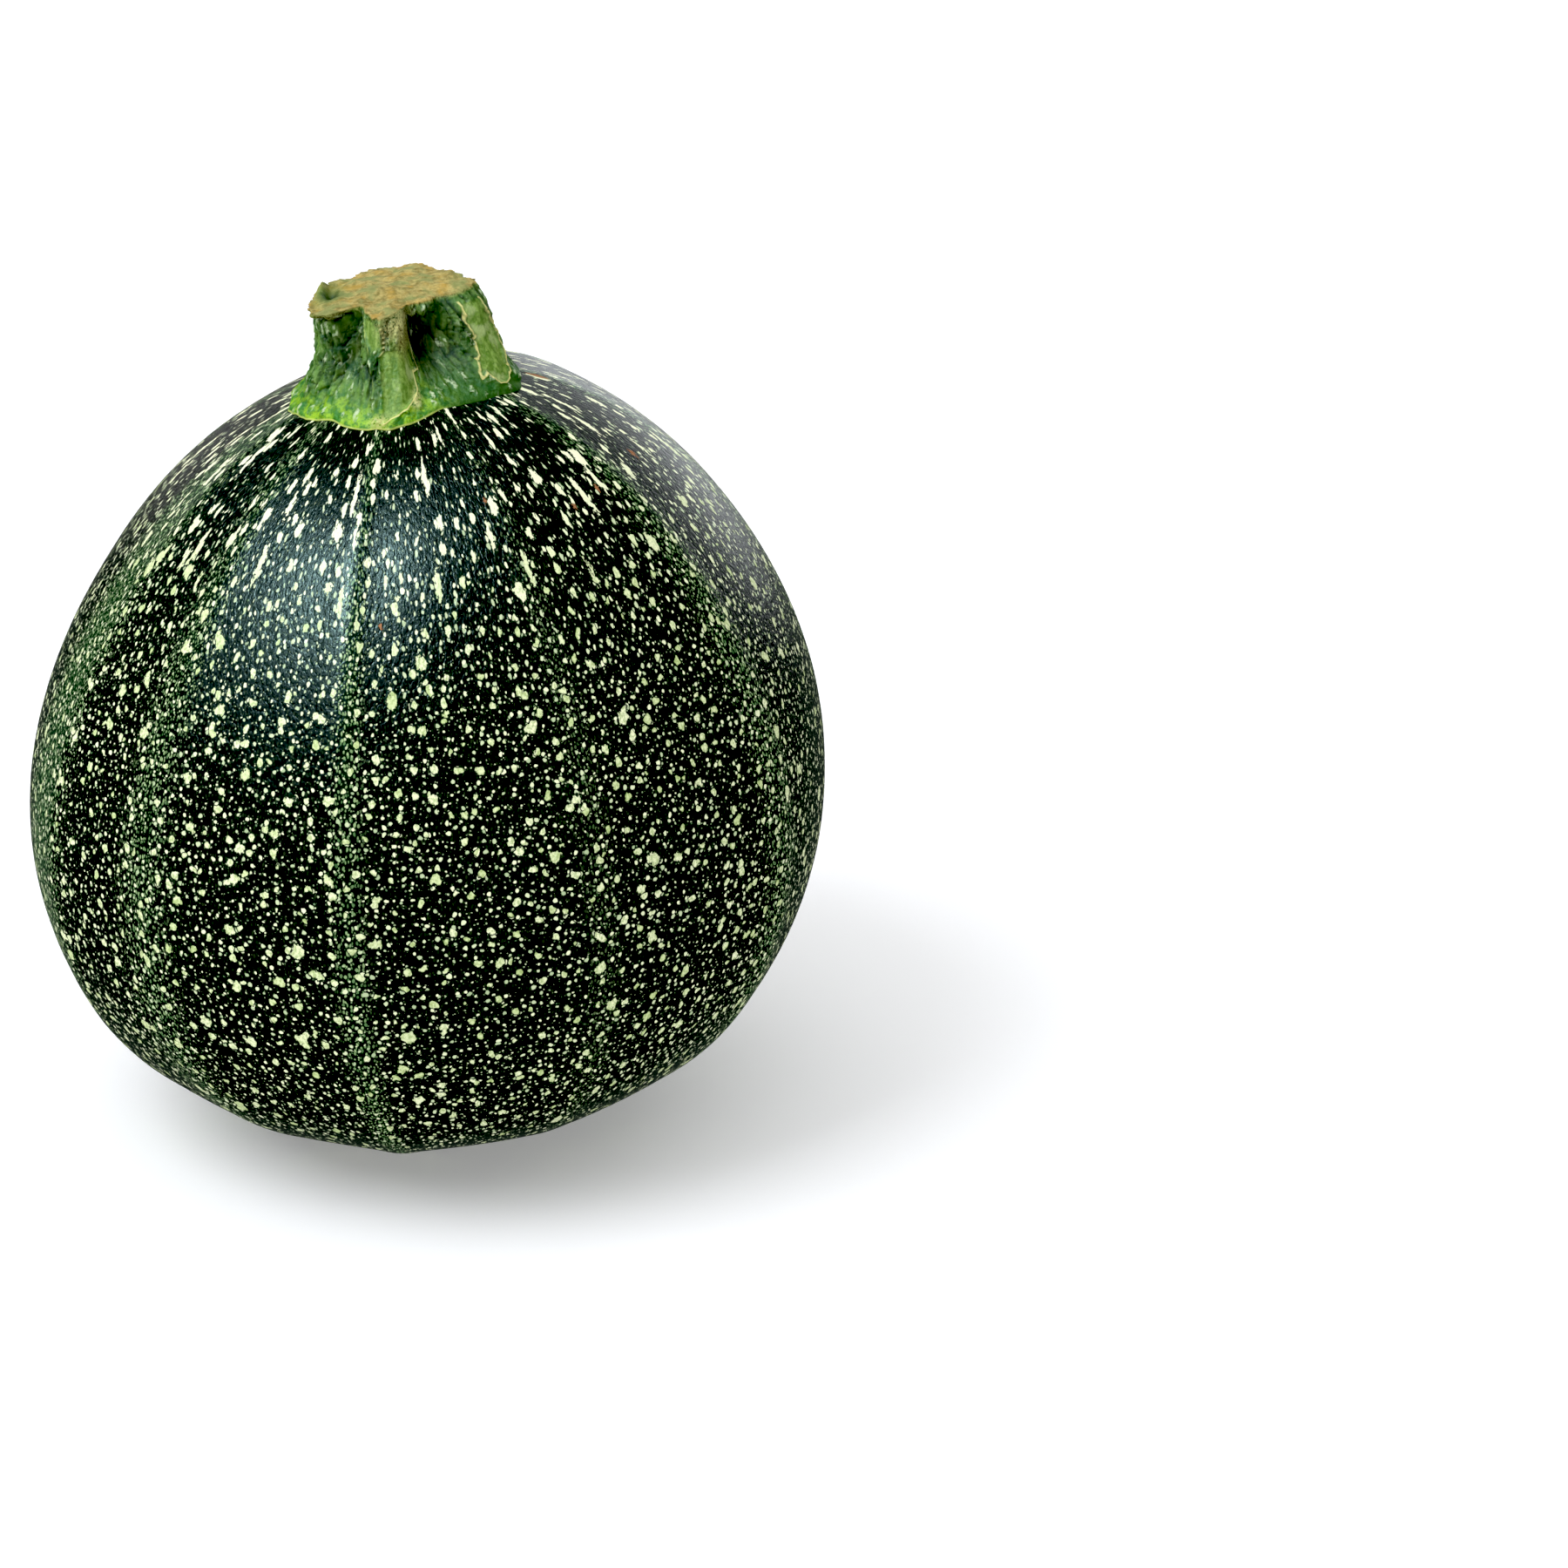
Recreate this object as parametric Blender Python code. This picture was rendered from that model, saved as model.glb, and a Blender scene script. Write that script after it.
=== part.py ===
"""Round zucchini, picked with a stub of its stem, standing as it rests, leaning a little to the left.

Two pieces are built. The fruit is one solid body with low ribs from end to end. The stem is a stub
with five ridges, a foot that spreads over the shoulder, a deep hollow at its front right, and a cut.

Both are shaped about the fruit's own axis, which runs from the middle of the fruit to its stem end.
An angle called turn goes round that axis from the front, which faces -Y, towards the right, +X.
An angle called fall goes down from the stem end. An empty at the fruit's middle holds both pieces
and leans the axis. The fruit then stands on z = 0 by a small flat spot, whose centre is the origin.
"""

import math

import bmesh
import bpy
from mathutils import Matrix, Vector

MM = 0.001

# How the fruit stands: its middle over the flat spot, and how far its axis leans to the left
MIDDLE = Vector((0.1 * MM, 0.0, 45.2 * MM))
LEAN = math.radians(2.5)

# The fruit's skin, by its distance from the middle
MEAN_RADIUS = 47.85 * MM
SHOULDER_TAPER = 1.65 * MM  # narrower above the middle, and flatter underneath
FULL_SHOULDER = 1.0 * MM  # the right shoulder is fuller than the left, and the other way below
STEM_END_TILT = 0.36 * MM  # the skin round the stem faces a little more to the left

# Ribs: each one's turn in degrees, and its height. They run from the stem to the flower end.
RIBS = (
    (-63, 0.8 * MM),
    (-39, 0.6 * MM),
    (-10, 0.9 * MM),
    (27, 0.4 * MM),
    (62, 0.8 * MM),
    (98, 0.5 * MM),
    (134, 0.7 * MM),
    (171, 0.5 * MM),
    (208, 0.8 * MM),
    (252, 0.5 * MM),
)
RIB_BROAD, RIB_BROAD_WIDTH = 0.6, math.radians(10.0)
RIB_SHARP, RIB_SHARP_WIDTH = 0.4, math.radians(3.5)
VALLEY_DEPTH = 0.22 * MM

LOW_FLANK_FALL = math.radians(110)  # well above the flat spot at every turn
FRUIT_SEGMENTS = 96
FRUIT_RINGS = 52

# The stem's outline by turns, ridge and groove by turns. Each row holds a turn in degrees, then the
# distances from the axis, in mm, at each of the levels.
STEM_LEVELS = (0.0, 0.25, 0.5, 0.86, 1.0)  # shares of the way up from the foot to the rim
STEM_OUTLINE = (
    (-70, 14.0, 11.6, 10.2, 9.9, 10.1),
    (-58, 13.6, 11.5, 10.2, 10.2, 10.8),
    (-47, 13.2, 10.9, 9.4, 9.2, 10.2),
    (-37, 13.1, 10.3, 7.6, 6.6, 6.7),
    (-26, 13.4, 10.9, 8.9, 7.6, 7.6),
    (-14, 14.0, 11.8, 10.2, 8.9, 8.8),
    (-2, 14.0, 11.8, 10.2, 8.9, 8.9),
    (6, 13.8, 11.3, 9.6, 7.6, 6.9),
    (13, 13.5, 9.4, 6.4, 4.6, 5.8),
    (24, 13.1, 8.1, 4.1, 3.6, 5.8),
    (40, 13.3, 8.3, 4.1, 3.6, 6.3),
    (54, 13.8, 10.3, 6.9, 5.2, 5.5),
    (64, 14.2, 12.0, 9.5, 7.8, 5.9),
    (76, 14.4, 12.8, 11.1, 9.8, 7.8),
    (89, 13.9, 12.3, 11.2, 10.2, 9.2),
    (110, 13.0, 10.9, 9.5, 8.8, 8.3),
    (128, 12.4, 10.0, 8.6, 8.1, 7.7),
    (148, 13.9, 11.8, 10.4, 9.2, 8.2),
    (168, 12.7, 10.0, 8.7, 8.2, 8.2),
    (185, 12.1, 9.4, 8.1, 7.9, 8.1),
    (212, 13.6, 11.3, 9.9, 8.9, 8.4),
    (236, 12.1, 9.5, 8.1, 7.7, 7.7),
    (256, 12.6, 10.5, 9.5, 9.2, 9.4),
)
STEM_TOP = 59.1 * MM  # the cut on the axis, from the middle of the fruit
CUT_TILT = math.radians(2.3)  # the cut rises to the right, measured across the axis
CUT_SWELLING = 0.6 * MM  # the cut's middle stands a little proud of its rim
RIM_RIPPLE = 0.3 * MM
RIM_RIPPLES = 7  # round the rim, strong on two sides and weak between them
STEM_GAP = 0.3 * MM  # between the stem's underside and the fruit

STEM_SEGMENTS = 120
STEM_RINGS = 18
CUT_RINGS = (0.86, 0.6, 0.3)  # shares of the way out from the axis
UNDERSIDE_RINGS = (0.3, 0.65)

SKIN_COLOUR = (0.012, 0.035, 0.016, 1.0)
SKIN_ROUGHNESS = 0.32
STEM_COLOUR = (0.17, 0.34, 0.055, 1.0)
STEM_ROUGHNESS = 0.62
SHARP_EDGE = math.radians(40.0)


def turned_apart(first, second):
    """The smallest angle between two turns, from -pi to pi."""
    return math.remainder(first - second, math.tau)


def rib_relief(turn):
    """How far the skin stands out at this turn: a crest on each rib and a shallow valley between."""
    relief = -VALLEY_DEPTH
    for degrees, height in RIBS:
        apart = turned_apart(turn, math.radians(degrees))
        broad = RIB_BROAD * math.exp(-((apart / RIB_BROAD_WIDTH) ** 2))
        sharp = RIB_SHARP * math.exp(-((apart / RIB_SHARP_WIDTH) ** 2))
        relief += height * (broad + sharp)
    return relief


def skin_distance(fall, turn):
    """From the middle of the fruit to its skin."""
    turned = MEAN_RADIUS + SHOULDER_TAPER * math.cos(3 * fall)
    uneven = FULL_SHOULDER * math.sin(2 * fall) + STEM_END_TILT * math.sin(3 * fall)
    return turned + uneven * math.sin(turn) + rib_relief(turn) * math.sin(fall)


def from_axis(radius, height, turn):
    """The point this far from the axis, and this far up it from the middle."""
    return Vector((radius * math.sin(turn), -radius * math.cos(turn), height))


def skin_point(fall, turn):
    distance = skin_distance(fall, turn)
    return from_axis(distance * math.sin(fall), distance * math.cos(fall), turn)


def shoulder_height(radius, turn):
    """How far up the axis the skin of the shoulder lies, this far out from the axis."""
    fall = 0.0
    for _ in range(6):
        fall = math.asin(radius / skin_distance(fall, turn))
    return skin_distance(fall, turn) * math.cos(fall)


def fall_to_flat_spot(turn, placing):
    """The fall at which the skin meets the surface that the fruit stands on."""
    above, below = LOW_FLANK_FALL, math.pi
    for _ in range(40):
        halfway = (above + below) / 2
        if (placing @ skin_point(halfway, turn)).z > 0:
            above = halfway
        else:
            below = halfway
    return above


def curve_through(stations, wanted):
    """The values at a wanted place, on a smooth curve through (place, values...) stations."""
    after = next(i for i in range(1, len(stations)) if wanted <= stations[i][0])
    start, end = stations[after - 1], stations[after]
    before = stations[max(after - 2, 0)]
    beyond = stations[min(after + 1, len(stations) - 1)]
    span = end[0] - start[0]
    t = (wanted - start[0]) / span
    values = []
    for value in range(1, len(start)):
        slope_in = (end[value] - before[value]) / (end[0] - before[0])
        slope_out = (beyond[value] - start[value]) / (beyond[0] - start[0])
        rise = (3 - 2 * t) * t * t
        bend_in = (t - 1) ** 2 * t * span * slope_in
        bend_out = (t - 1) * t * t * span * slope_out
        values.append(start[value] * (1 - rise) + end[value] * rise + bend_in + bend_out)
    return values


def stem_radii(turn):
    """The stem's distances from the axis at this turn, one for each level."""
    degrees = (math.degrees(turn) - STEM_OUTLINE[0][0]) % 360 + STEM_OUTLINE[0][0]
    around = [
        (row[0] + lap, *row[1:]) for lap in (-360, 0, 360) for row in STEM_OUTLINE
    ]
    return [MM * radius for radius in curve_through(around, degrees)]


def cut_height(radius, turn, share_out):
    """The cut across the stem, as a height up the axis: tilted, and proud in the middle."""
    tilted = STEM_TOP + radius * math.sin(turn) * math.tan(CUT_TILT)
    swelling = CUT_SWELLING * (1 - share_out**2)
    ripple = math.sin(RIM_RIPPLES * turn) * math.cos(2 * turn + 1.0)
    return tilted + swelling + RIM_RIPPLE * ripple * share_out**4


def stem_column(turn):
    """The stem's section at one turn: out along its underside, up its side, in along the cut."""
    radii = stem_radii(turn)
    foot, rim = radii[0], radii[-1]
    low = shoulder_height(foot, turn) + STEM_GAP
    high = cut_height(rim, turn, 1.0)
    by_level = list(zip(STEM_LEVELS, radii))
    column = []
    for share in UNDERSIDE_RINGS:
        under = shoulder_height(share * foot, turn) + STEM_GAP
        column.append(from_axis(share * foot, under, turn))
    for ring in range(STEM_RINGS + 1):
        level = ring / STEM_RINGS
        radius = curve_through(by_level, level)[0]
        column.append(from_axis(radius, low + (high - low) * level, turn))
    for share in CUT_RINGS:
        column.append(from_axis(share * rim, cut_height(share * rim, turn, share), turn))
    return column


def turns(count):
    return [math.tau * i / count for i in range(count)]


def lofted(columns, top, bottom=None):
    """A closed mesh from columns of points side by side. No bottom point means a flat bottom."""
    mesh = bmesh.new()
    columns = [[mesh.verts.new(point) for point in column] for column in columns]
    high = mesh.verts.new(top)
    if bottom is None:
        mesh.faces.new([column[0] for column in columns])
    else:
        low = mesh.verts.new(bottom)
    for left, right in zip(columns, columns[1:] + columns[:1]):
        mesh.faces.new((high, left[-1], right[-1]))
        if bottom is not None:
            mesh.faces.new((low, right[0], left[0]))
        for i in range(len(left) - 1):
            mesh.faces.new((left[i], right[i], right[i + 1], left[i + 1]))
    bmesh.ops.recalc_face_normals(mesh, faces=mesh.faces)
    return mesh


def fruit_mesh(placing):
    """The ribbed body, from its flat spot up to its stem end."""
    columns = []
    for turn in turns(FRUIT_SEGMENTS):
        lowest = fall_to_flat_spot(turn, placing)
        falls = [lowest * (1 - ring / FRUIT_RINGS) for ring in range(FRUIT_RINGS)]
        columns.append([skin_point(fall, turn) for fall in falls])
    return lofted(columns, skin_point(0.0, 0.0))


def stem_mesh():
    """The stub, whose underside follows the fruit's shoulder."""
    columns = [stem_column(turn) for turn in turns(STEM_SEGMENTS)]
    cut_middle = from_axis(0.0, cut_height(0.0, 0.0, 0.0), 0.0)
    underside = from_axis(0.0, shoulder_height(0.0, 0.0) + STEM_GAP, 0.0)
    return lofted(columns, cut_middle, underside)


def material(name, colour, roughness):
    made = bpy.data.materials.new(name)
    made.use_nodes = True
    shader = made.node_tree.nodes["Principled BSDF"]
    shader.inputs["Base Color"].default_value = colour
    shader.inputs["Roughness"].default_value = roughness
    made.diffuse_color = colour
    return made


def piece(name, mesh, finish, parent):
    """One named object from a finished mesh, shaded smooth except at sharp edges."""
    data = bpy.data.meshes.new(name)
    mesh.to_mesh(data)
    mesh.free()
    data.shade_smooth()
    data.set_sharp_from_angle(angle=SHARP_EDGE)
    data.materials.append(finish)
    made = bpy.data.objects.new(name, data)
    bpy.context.scene.collection.objects.link(made)
    made.parent = parent


def main():
    for old in list(bpy.data.objects):
        bpy.data.objects.remove(old, do_unlink=True)
    middle = bpy.data.objects.new("fruit_middle", None)
    bpy.context.scene.collection.objects.link(middle)
    middle.location = MIDDLE
    middle.rotation_euler = (0.0, -LEAN, 0.0)
    placing = Matrix.Translation(MIDDLE) @ Matrix.Rotation(-LEAN, 4, "Y")
    skin = material("zucchini_skin", SKIN_COLOUR, SKIN_ROUGHNESS)
    stalk = material("zucchini_stem", STEM_COLOUR, STEM_ROUGHNESS)
    piece("fruit", fruit_mesh(placing), skin, middle)
    piece("stem", stem_mesh(), stalk, middle)


main()
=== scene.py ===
"""Round zucchini on a pale floor: the looks of its skin and of its cut stem.

The fruit and the stem are made again as fine meshes from the same sizes as the solids that they
stand for. Sizes are in millimetres until a mesh is finished. An angle called turn goes round the
fruit's axis from the front towards the right, and one called fall goes down from the stem end.
"""

import math

import bmesh
import bpy
import numpy as np
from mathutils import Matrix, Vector, noise


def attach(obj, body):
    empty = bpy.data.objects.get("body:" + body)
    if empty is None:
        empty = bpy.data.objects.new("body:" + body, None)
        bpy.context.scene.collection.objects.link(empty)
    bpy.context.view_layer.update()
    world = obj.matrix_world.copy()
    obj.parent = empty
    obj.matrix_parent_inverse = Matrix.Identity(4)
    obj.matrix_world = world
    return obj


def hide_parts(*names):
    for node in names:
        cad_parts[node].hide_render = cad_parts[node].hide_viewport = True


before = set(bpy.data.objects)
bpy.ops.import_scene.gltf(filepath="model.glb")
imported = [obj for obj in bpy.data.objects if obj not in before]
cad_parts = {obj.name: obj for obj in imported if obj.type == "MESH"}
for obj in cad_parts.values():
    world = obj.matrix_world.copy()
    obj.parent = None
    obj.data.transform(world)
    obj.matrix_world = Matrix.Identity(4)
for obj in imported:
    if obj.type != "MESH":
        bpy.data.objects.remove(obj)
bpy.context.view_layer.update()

MM = 0.001

# How the fruit stands, and the shape of its skin
MIDDLE = (0.1, 0.0, 45.2)
LEAN = math.radians(2.5)
MEAN_RADIUS = 47.85
SHOULDER_TAPER = 1.65
FULL_SHOULDER = 1.0
STEM_END_TILT = 0.36
LUMP_HEIGHT = 0.22
# Each rib: its turn in degrees and its height
RIBS = (
    (-63, 0.8), (-39, 0.6), (-10, 1.0), (27, 0.4), (62, 0.8),
    (98, 0.5), (134, 0.7), (171, 0.5), (208, 0.8), (252, 0.5),
)
# Each green band, on a rib or close beside it: its turn in degrees, its strength and its width
BANDS = (
    (-70, 1.2, 8.0), (-41, 0.55, 6.0), (-8.2, 0.65, 2.6), (27, 0.35, 4.0), (62, 0.6, 5.0),
    (98, 0.6, 5.0), (134, 0.8, 6.0), (171, 0.5, 4.0), (208, 1.0, 8.0), (252, 0.6, 5.0),
)
RIB_BROAD, RIB_BROAD_WIDTH = 0.6, math.radians(10.0)
RIB_SHARP, RIB_SHARP_WIDTH = 0.4, math.radians(3.5)
VALLEY_DEPTH = 0.22
# The crease beside the front rib: its turn, the widths of its steep left side and of its gentle right
# one in degrees, its depth, and where it fades out
CREASE_TURN, CREASE_DEPTH = -6.0, 0.3
CREASE_LEFT, CREASE_RIGHT = 2.2, 8.0
CREASE_FADE = (math.radians(40.0), math.radians(85.0))
FRUIT_SEGMENTS = 480
FRUIT_RINGS = 202

# The flecks are drawn out towards the two ends: how near to the ends this starts (the larger, the
# nearer), how sharply, and its share of the way to a full stretch there
STRETCH_START, STRETCH_POWER, STRETCH_SHARE = 0.9, 3.0, 0.65
# Where one flat map of the flecks takes over from another: from the front map to the back one, and
# from these two, round the belt, to the round maps of the ends
FRONT_MAP_REACH = math.radians(150.0)
END_MAP_REACH = math.radians(60.0)
# A map also shows a little past that border, where its spots reach over: up to this much behind the
# fruit for the front map, from this much for the back one, and up to this far from the axis for the
# ends, each as a share of the radius
FRONT_MAP_SHOWS, BACK_MAP_SHOWS, END_MAP_SHOWS = 0.95, 0.0, 0.96
# The drum that the fruit is rolled out on for its grain: its height for each mm down the skin
DRUM_SQUEEZE = 0.8
# The scabs: turn and fall of each in degrees, and its radius in mm
SCABS = (
    (95.0, 18.5, 1.3), (76.0, 34.6, 0.75), (54.6, 35.3, 0.5), (45.5, 36.2, 0.4),
    (-3.1, 48.3, 0.35), (24.0, 31.5, 0.4), (152.0, 52.0, 0.9), (-118.0, 41.0, 0.7), (-84.0, 118.0, 0.8),
)
# The scar where the flower was: how far down the fruit it starts
SCAR_EDGE = math.radians(171.5)

# How much the wax on the skin and on the stem bends light, and how deep their fine relief is in mm
WAX_IOR = 1.27
SKIN_RELIEF, STEM_RELIEF = 0.045, 0.16

# The stem's outline by turns: degrees, then the distance from the axis at each level
STEM_LEVELS = np.array((0.0, 0.25, 0.5, 0.86, 1.0))
STEM_OUTLINE = np.array(
    (
        (-70, 14.0, 11.6, 10.2, 9.9, 10.1),
        (-58, 13.6, 11.5, 10.2, 10.2, 10.8),
        (-47, 13.2, 10.9, 9.4, 9.2, 10.2),
        (-37, 13.1, 10.3, 7.6, 6.6, 6.7),
        (-26, 13.4, 10.9, 8.9, 7.6, 7.6),
        (-14, 14.0, 11.8, 10.2, 8.9, 8.8),
        (-2, 13.8, 11.8, 10.2, 8.9, 8.9),
        (6, 13.3, 11.3, 9.6, 7.6, 6.9),
        (13, 12.8, 9.4, 6.4, 4.6, 5.8),
        (24, 12.1, 8.1, 4.1, 3.6, 5.8),
        (40, 12.2, 8.3, 4.1, 3.6, 6.3),
        (54, 13.0, 10.3, 6.9, 5.2, 5.5),
        (64, 13.9, 12.0, 9.5, 7.8, 5.9),
        (76, 14.4, 12.8, 11.1, 9.8, 7.8),
        (89, 13.9, 12.3, 11.2, 10.2, 9.2),
        (110, 13.0, 10.9, 9.5, 8.8, 8.3),
        (128, 12.4, 10.0, 8.6, 8.1, 7.7),
        (148, 13.9, 11.8, 10.4, 9.2, 8.2),
        (168, 12.7, 10.0, 8.7, 8.2, 8.2),
        (185, 12.1, 9.4, 8.1, 7.9, 8.1),
        (212, 13.6, 11.3, 9.9, 8.9, 8.4),
        (236, 12.1, 9.5, 8.1, 7.7, 7.7),
        (256, 12.6, 10.5, 9.5, 9.2, 9.4),
    )
)
STEM_TOP = 59.1
# How deep in the skin the stem starts, and how far its foot's rounded edge stands off the skin
FOOT_SINK, FOOT_RISE = 0.03, 0.25
CUT_TILT = math.radians(2.3)
CUT_SWELLING = 0.6
RIM_RIPPLE = 0.3
RIM_RIPPLES = 7
STEM_SEGMENTS = 480
STEM_RINGS = 150
CUT_RINGS = 44

# What the knife and the tear left on the stem, as (turn in degrees, level) points
FRONT_FACET = (
    (-11, 0.63), (-5, 0.68), (4, 0.65), (12, 0.52), (18, 0.38), (14, 0.34),
    (14, 0.23), (9, 0.17), (2, 0.09), (-3, 0.06), (-8, 0.06), (-9, 0.30),
)
TONGUE_FACET = (
    (69, 0.92), (66, 0.73), (68, 0.59), (65, 0.43), (59, 0.28), (57, 0.18), (61, 0.24),
    (62, 0.18), (63, 0.11), (69, 0.10), (77, 0.19), (84, 0.37), (85, 0.60), (83, 0.78), (81, 0.90),
)
SIDE_FACET = ((-37, 0.90), (-17, 0.97), (-10, 0.90), (-9, 0.68), (-18, 0.66), (-27, 0.75))
RIDGE_EDGE = ((-38, 0.97), (-36, 0.90), (-28, 0.79), (-21, 0.66), (-16, 0.45), (-12, 0.26), (-11, 0.12))
TORN_EDGE = (
    (13, 0.92), (17, 0.70), (18, 0.48), (20, 0.34), (13, 0.36),
    (14, 0.22), (9, 0.17), (2, 0.10), (-3, 0.07), (-7, 0.03),
)
BEADED_EDGE = ((-10, 0.95), (-9, 0.89), (-8, 0.78), (-8, 0.68), (-10, 0.62))
MM_PER_DEGREE = 0.17
MM_PER_LEVEL = 12.5


class Value:
    """A number, vector or colour in a tree of nodes, held as the socket that gives it."""

    def __init__(self, tree, socket):
        self.tree, self.socket = tree, socket

    def __add__(self, other):
        return self.tree.maths("ADD", self, other)

    def __sub__(self, other):
        return self.tree.maths("SUBTRACT", self, other)

    def __rsub__(self, other):
        return self.tree.maths("SUBTRACT", other, self)

    def __mul__(self, other):
        return self.tree.maths("MULTIPLY", self, other)

    def __truediv__(self, other):
        return self.tree.maths("DIVIDE", self, other)

    def __pow__(self, other):
        return self.tree.maths("POWER", self, other)

    __radd__ = __add__
    __rmul__ = __mul__


class Tree:
    """The nodes of a material or of a shape, laid out one after another."""

    def __init__(self, node_tree):
        self.nodes, self.links = node_tree.nodes, node_tree.links

    def node(self, kind, settings=None, inputs=None):
        """Adds a node with its settings, then the values or links of its sockets. Gives its outputs."""
        made = self.nodes.new(kind)
        for name, setting in (settings or {}).items():
            setattr(made, name, setting)
        for name, given in (inputs or {}).items():
            usable = [socket for socket in made.inputs if socket.enabled]
            socket = usable[name] if isinstance(name, int) else next(s for s in usable if s.name == name)
            if isinstance(given, Value):
                self.links.new(given.socket, socket)
            else:
                socket.default_value = given
        return {socket.name: Value(self, socket) for socket in made.outputs if socket.enabled}

    def maths(self, operation, *values):
        return self.node("ShaderNodeMath", {"operation": operation}, dict(enumerate(values)))["Value"]

    def vectors(self, operation, *values):
        made = self.node("ShaderNodeVectorMath", {"operation": operation}, dict(enumerate(values)))
        return next(iter(made.values()))

    def scaled(self, vector, times):
        given = {"Vector": vector, "Scale": times}
        return self.node("ShaderNodeVectorMath", {"operation": "SCALE"}, given)["Vector"]

    def point(self, across, up, out=0.0):
        return self.node("ShaderNodeCombineXYZ", None, {"X": across, "Y": up, "Z": out})["Vector"]

    def larger(self, first, second):
        return self.maths("MAXIMUM", first, second)

    def step(self, value, low, high):
        """0 at the low value and 1 at the high one, with a soft step between them."""
        settings = {"interpolation_type": "SMOOTHSTEP"}
        given = {"Value": value, "From Min": low, "From Max": high}
        return self.node("ShaderNodeMapRange", settings, given)["Result"]

    def mix(self, share, first, second):
        """A colour this share of the way from the first to the second."""
        given = {"Factor": share, "A": first, "B": second}
        return self.node("ShaderNodeMix", {"data_type": "RGBA"}, given)["Result"]

    def stored(self, name, output="Fac"):
        return self.node("ShaderNodeAttribute", {"attribute_name": name})[output]

    def grain(self, place, per_mm, detail=2.0, roughness=0.5):
        """Cloudy noise from 0 to 1, with this many lumps in a millimetre."""
        given = {"Vector": place, "Scale": per_mm, "Detail": detail, "Roughness": roughness}
        return self.node("ShaderNodeTexNoise", None, given)["Fac"]


def linear(red, green, blue):
    """A colour as a screen shows it, from 0 to 255, as the colour of light that a material takes."""
    shares = [value / 255 for value in (red, green, blue)]
    return (*(s / 12.92 if s <= 0.04045 else ((s + 0.055) / 1.055) ** 2.4 for s in shares), 1.0)


def new_finish(name):
    made = bpy.data.materials.new(name)
    made.use_nodes = True
    made.node_tree.nodes.clear()
    return made, Tree(made.node_tree)


def finish_with(tree, colour, roughness, bump, bump_depth):
    """Ends a material in its shader, with the gloss of a waxy skin."""
    raised = {"Height": bump, "Distance": bump_depth, "Strength": 1.0}
    normal = tree.node("ShaderNodeBump", None, raised)["Normal"]
    given = {"Base Color": colour, "Roughness": roughness, "Normal": normal, "IOR": WAX_IOR}
    shader = tree.node("ShaderNodeBsdfPrincipled", None, given)["BSDF"]
    tree.node("ShaderNodeOutputMaterial", None, {"Surface": shader})


# The skin


def flecks(
    tree, spacing, radii, feather, ragged, warp, drawn_out=1.0, favour=1.0, share=1.0, end_squeeze=1.0
):
    """Spots about this far apart on the skin, with radii between the two, drawn out along the fruit.

    The feather is the width of their soft edge, ragged is what their edge is eaten away by, and the
    warp pulls them out of round, all in mm. A favour above 1 makes more of them small, a share below 1
    leaves some out, and an end squeeze above 1 draws them out more under the stem. Gives where the
    spots are, a wider soft spot round each, and a tone from 0 to 1 for each. A spot belongs to the one
    of the three maps in whose part of the skin its middle lies, so none is cut.
    """
    behind, sideways = tree.stored("behind"), tree.stored("sideways")
    belt = (math.pi / 2 - END_MAP_REACH) * MEAN_RADIUS / drawn_out
    spot = halo = tone = None
    for name, seen in (
        ("front_map", tree.maths("LESS_THAN", behind, FRONT_MAP_SHOWS)),
        ("back_map", tree.maths("GREATER_THAN", behind, BACK_MAP_SHOWS)),
        ("end_map", tree.maths("LESS_THAN", sideways, END_MAP_SHOWS)),
    ):
        place = tree.vectors("ADD", tree.stored(name, "Vector"), warp)
        if name != "end_map":
            place = tree.vectors("MULTIPLY", place, (1.0, 1 / drawn_out, 1.0))
        elif end_squeeze > 1.0:
            pull = tree.vectors("LENGTH", place) ** (1 / end_squeeze - 1)
            place = tree.scaled(place, pull * end_ring(END_MAP_REACH) ** (1 - 1 / end_squeeze))
        given = {"Vector": place, "Scale": 1 / spacing, "Randomness": 0.9}
        cells = tree.node("ShaderNodeTexVoronoi", {"voronoi_dimensions": "2D"}, given)
        chance = tree.node("ShaderNodeSeparateColor", None, {"Color": cells["Color"]})
        if name == "end_map":
            from_middle = tree.vectors("LENGTH", cells["Position"])
            here = tree.maths("LESS_THAN", from_middle, end_ring(END_MAP_REACH))
        else:
            middle = tree.node("ShaderNodeSeparateXYZ", None, {"Vector": cells["Position"]})
            reach = (FRONT_MAP_REACH if name == "front_map" else math.pi - FRONT_MAP_REACH) * MEAN_RADIUS
            here = tree.maths("LESS_THAN", tree.maths("ABSOLUTE", middle["X"]), reach)
            here = here * tree.maths("LESS_THAN", tree.maths("ABSOLUTE", middle["Y"]), belt)
        here = here * seen
        if share < 1.0:
            here = here * tree.maths("LESS_THAN", chance["Blue"], share)
        radius = radii[0] + (radii[1] - radii[0]) * chance["Red"] ** favour
        inside = radius - cells["Distance"] * spacing - ragged
        part = tree.step(inside, -feather / 2, feather / 2) * here
        part_halo = tree.step(inside, -feather / 2 - radii[1] * 0.6, feather / 2) * here
        part_tone = chance["Green"] * here
        if spot is None:
            spot, halo, tone = part, part_halo, part_tone
        else:
            spot, halo = tree.larger(spot, part), tree.larger(halo, part_halo)
            tone = tree.larger(tone, part_tone)
    return spot, halo, tone


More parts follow.
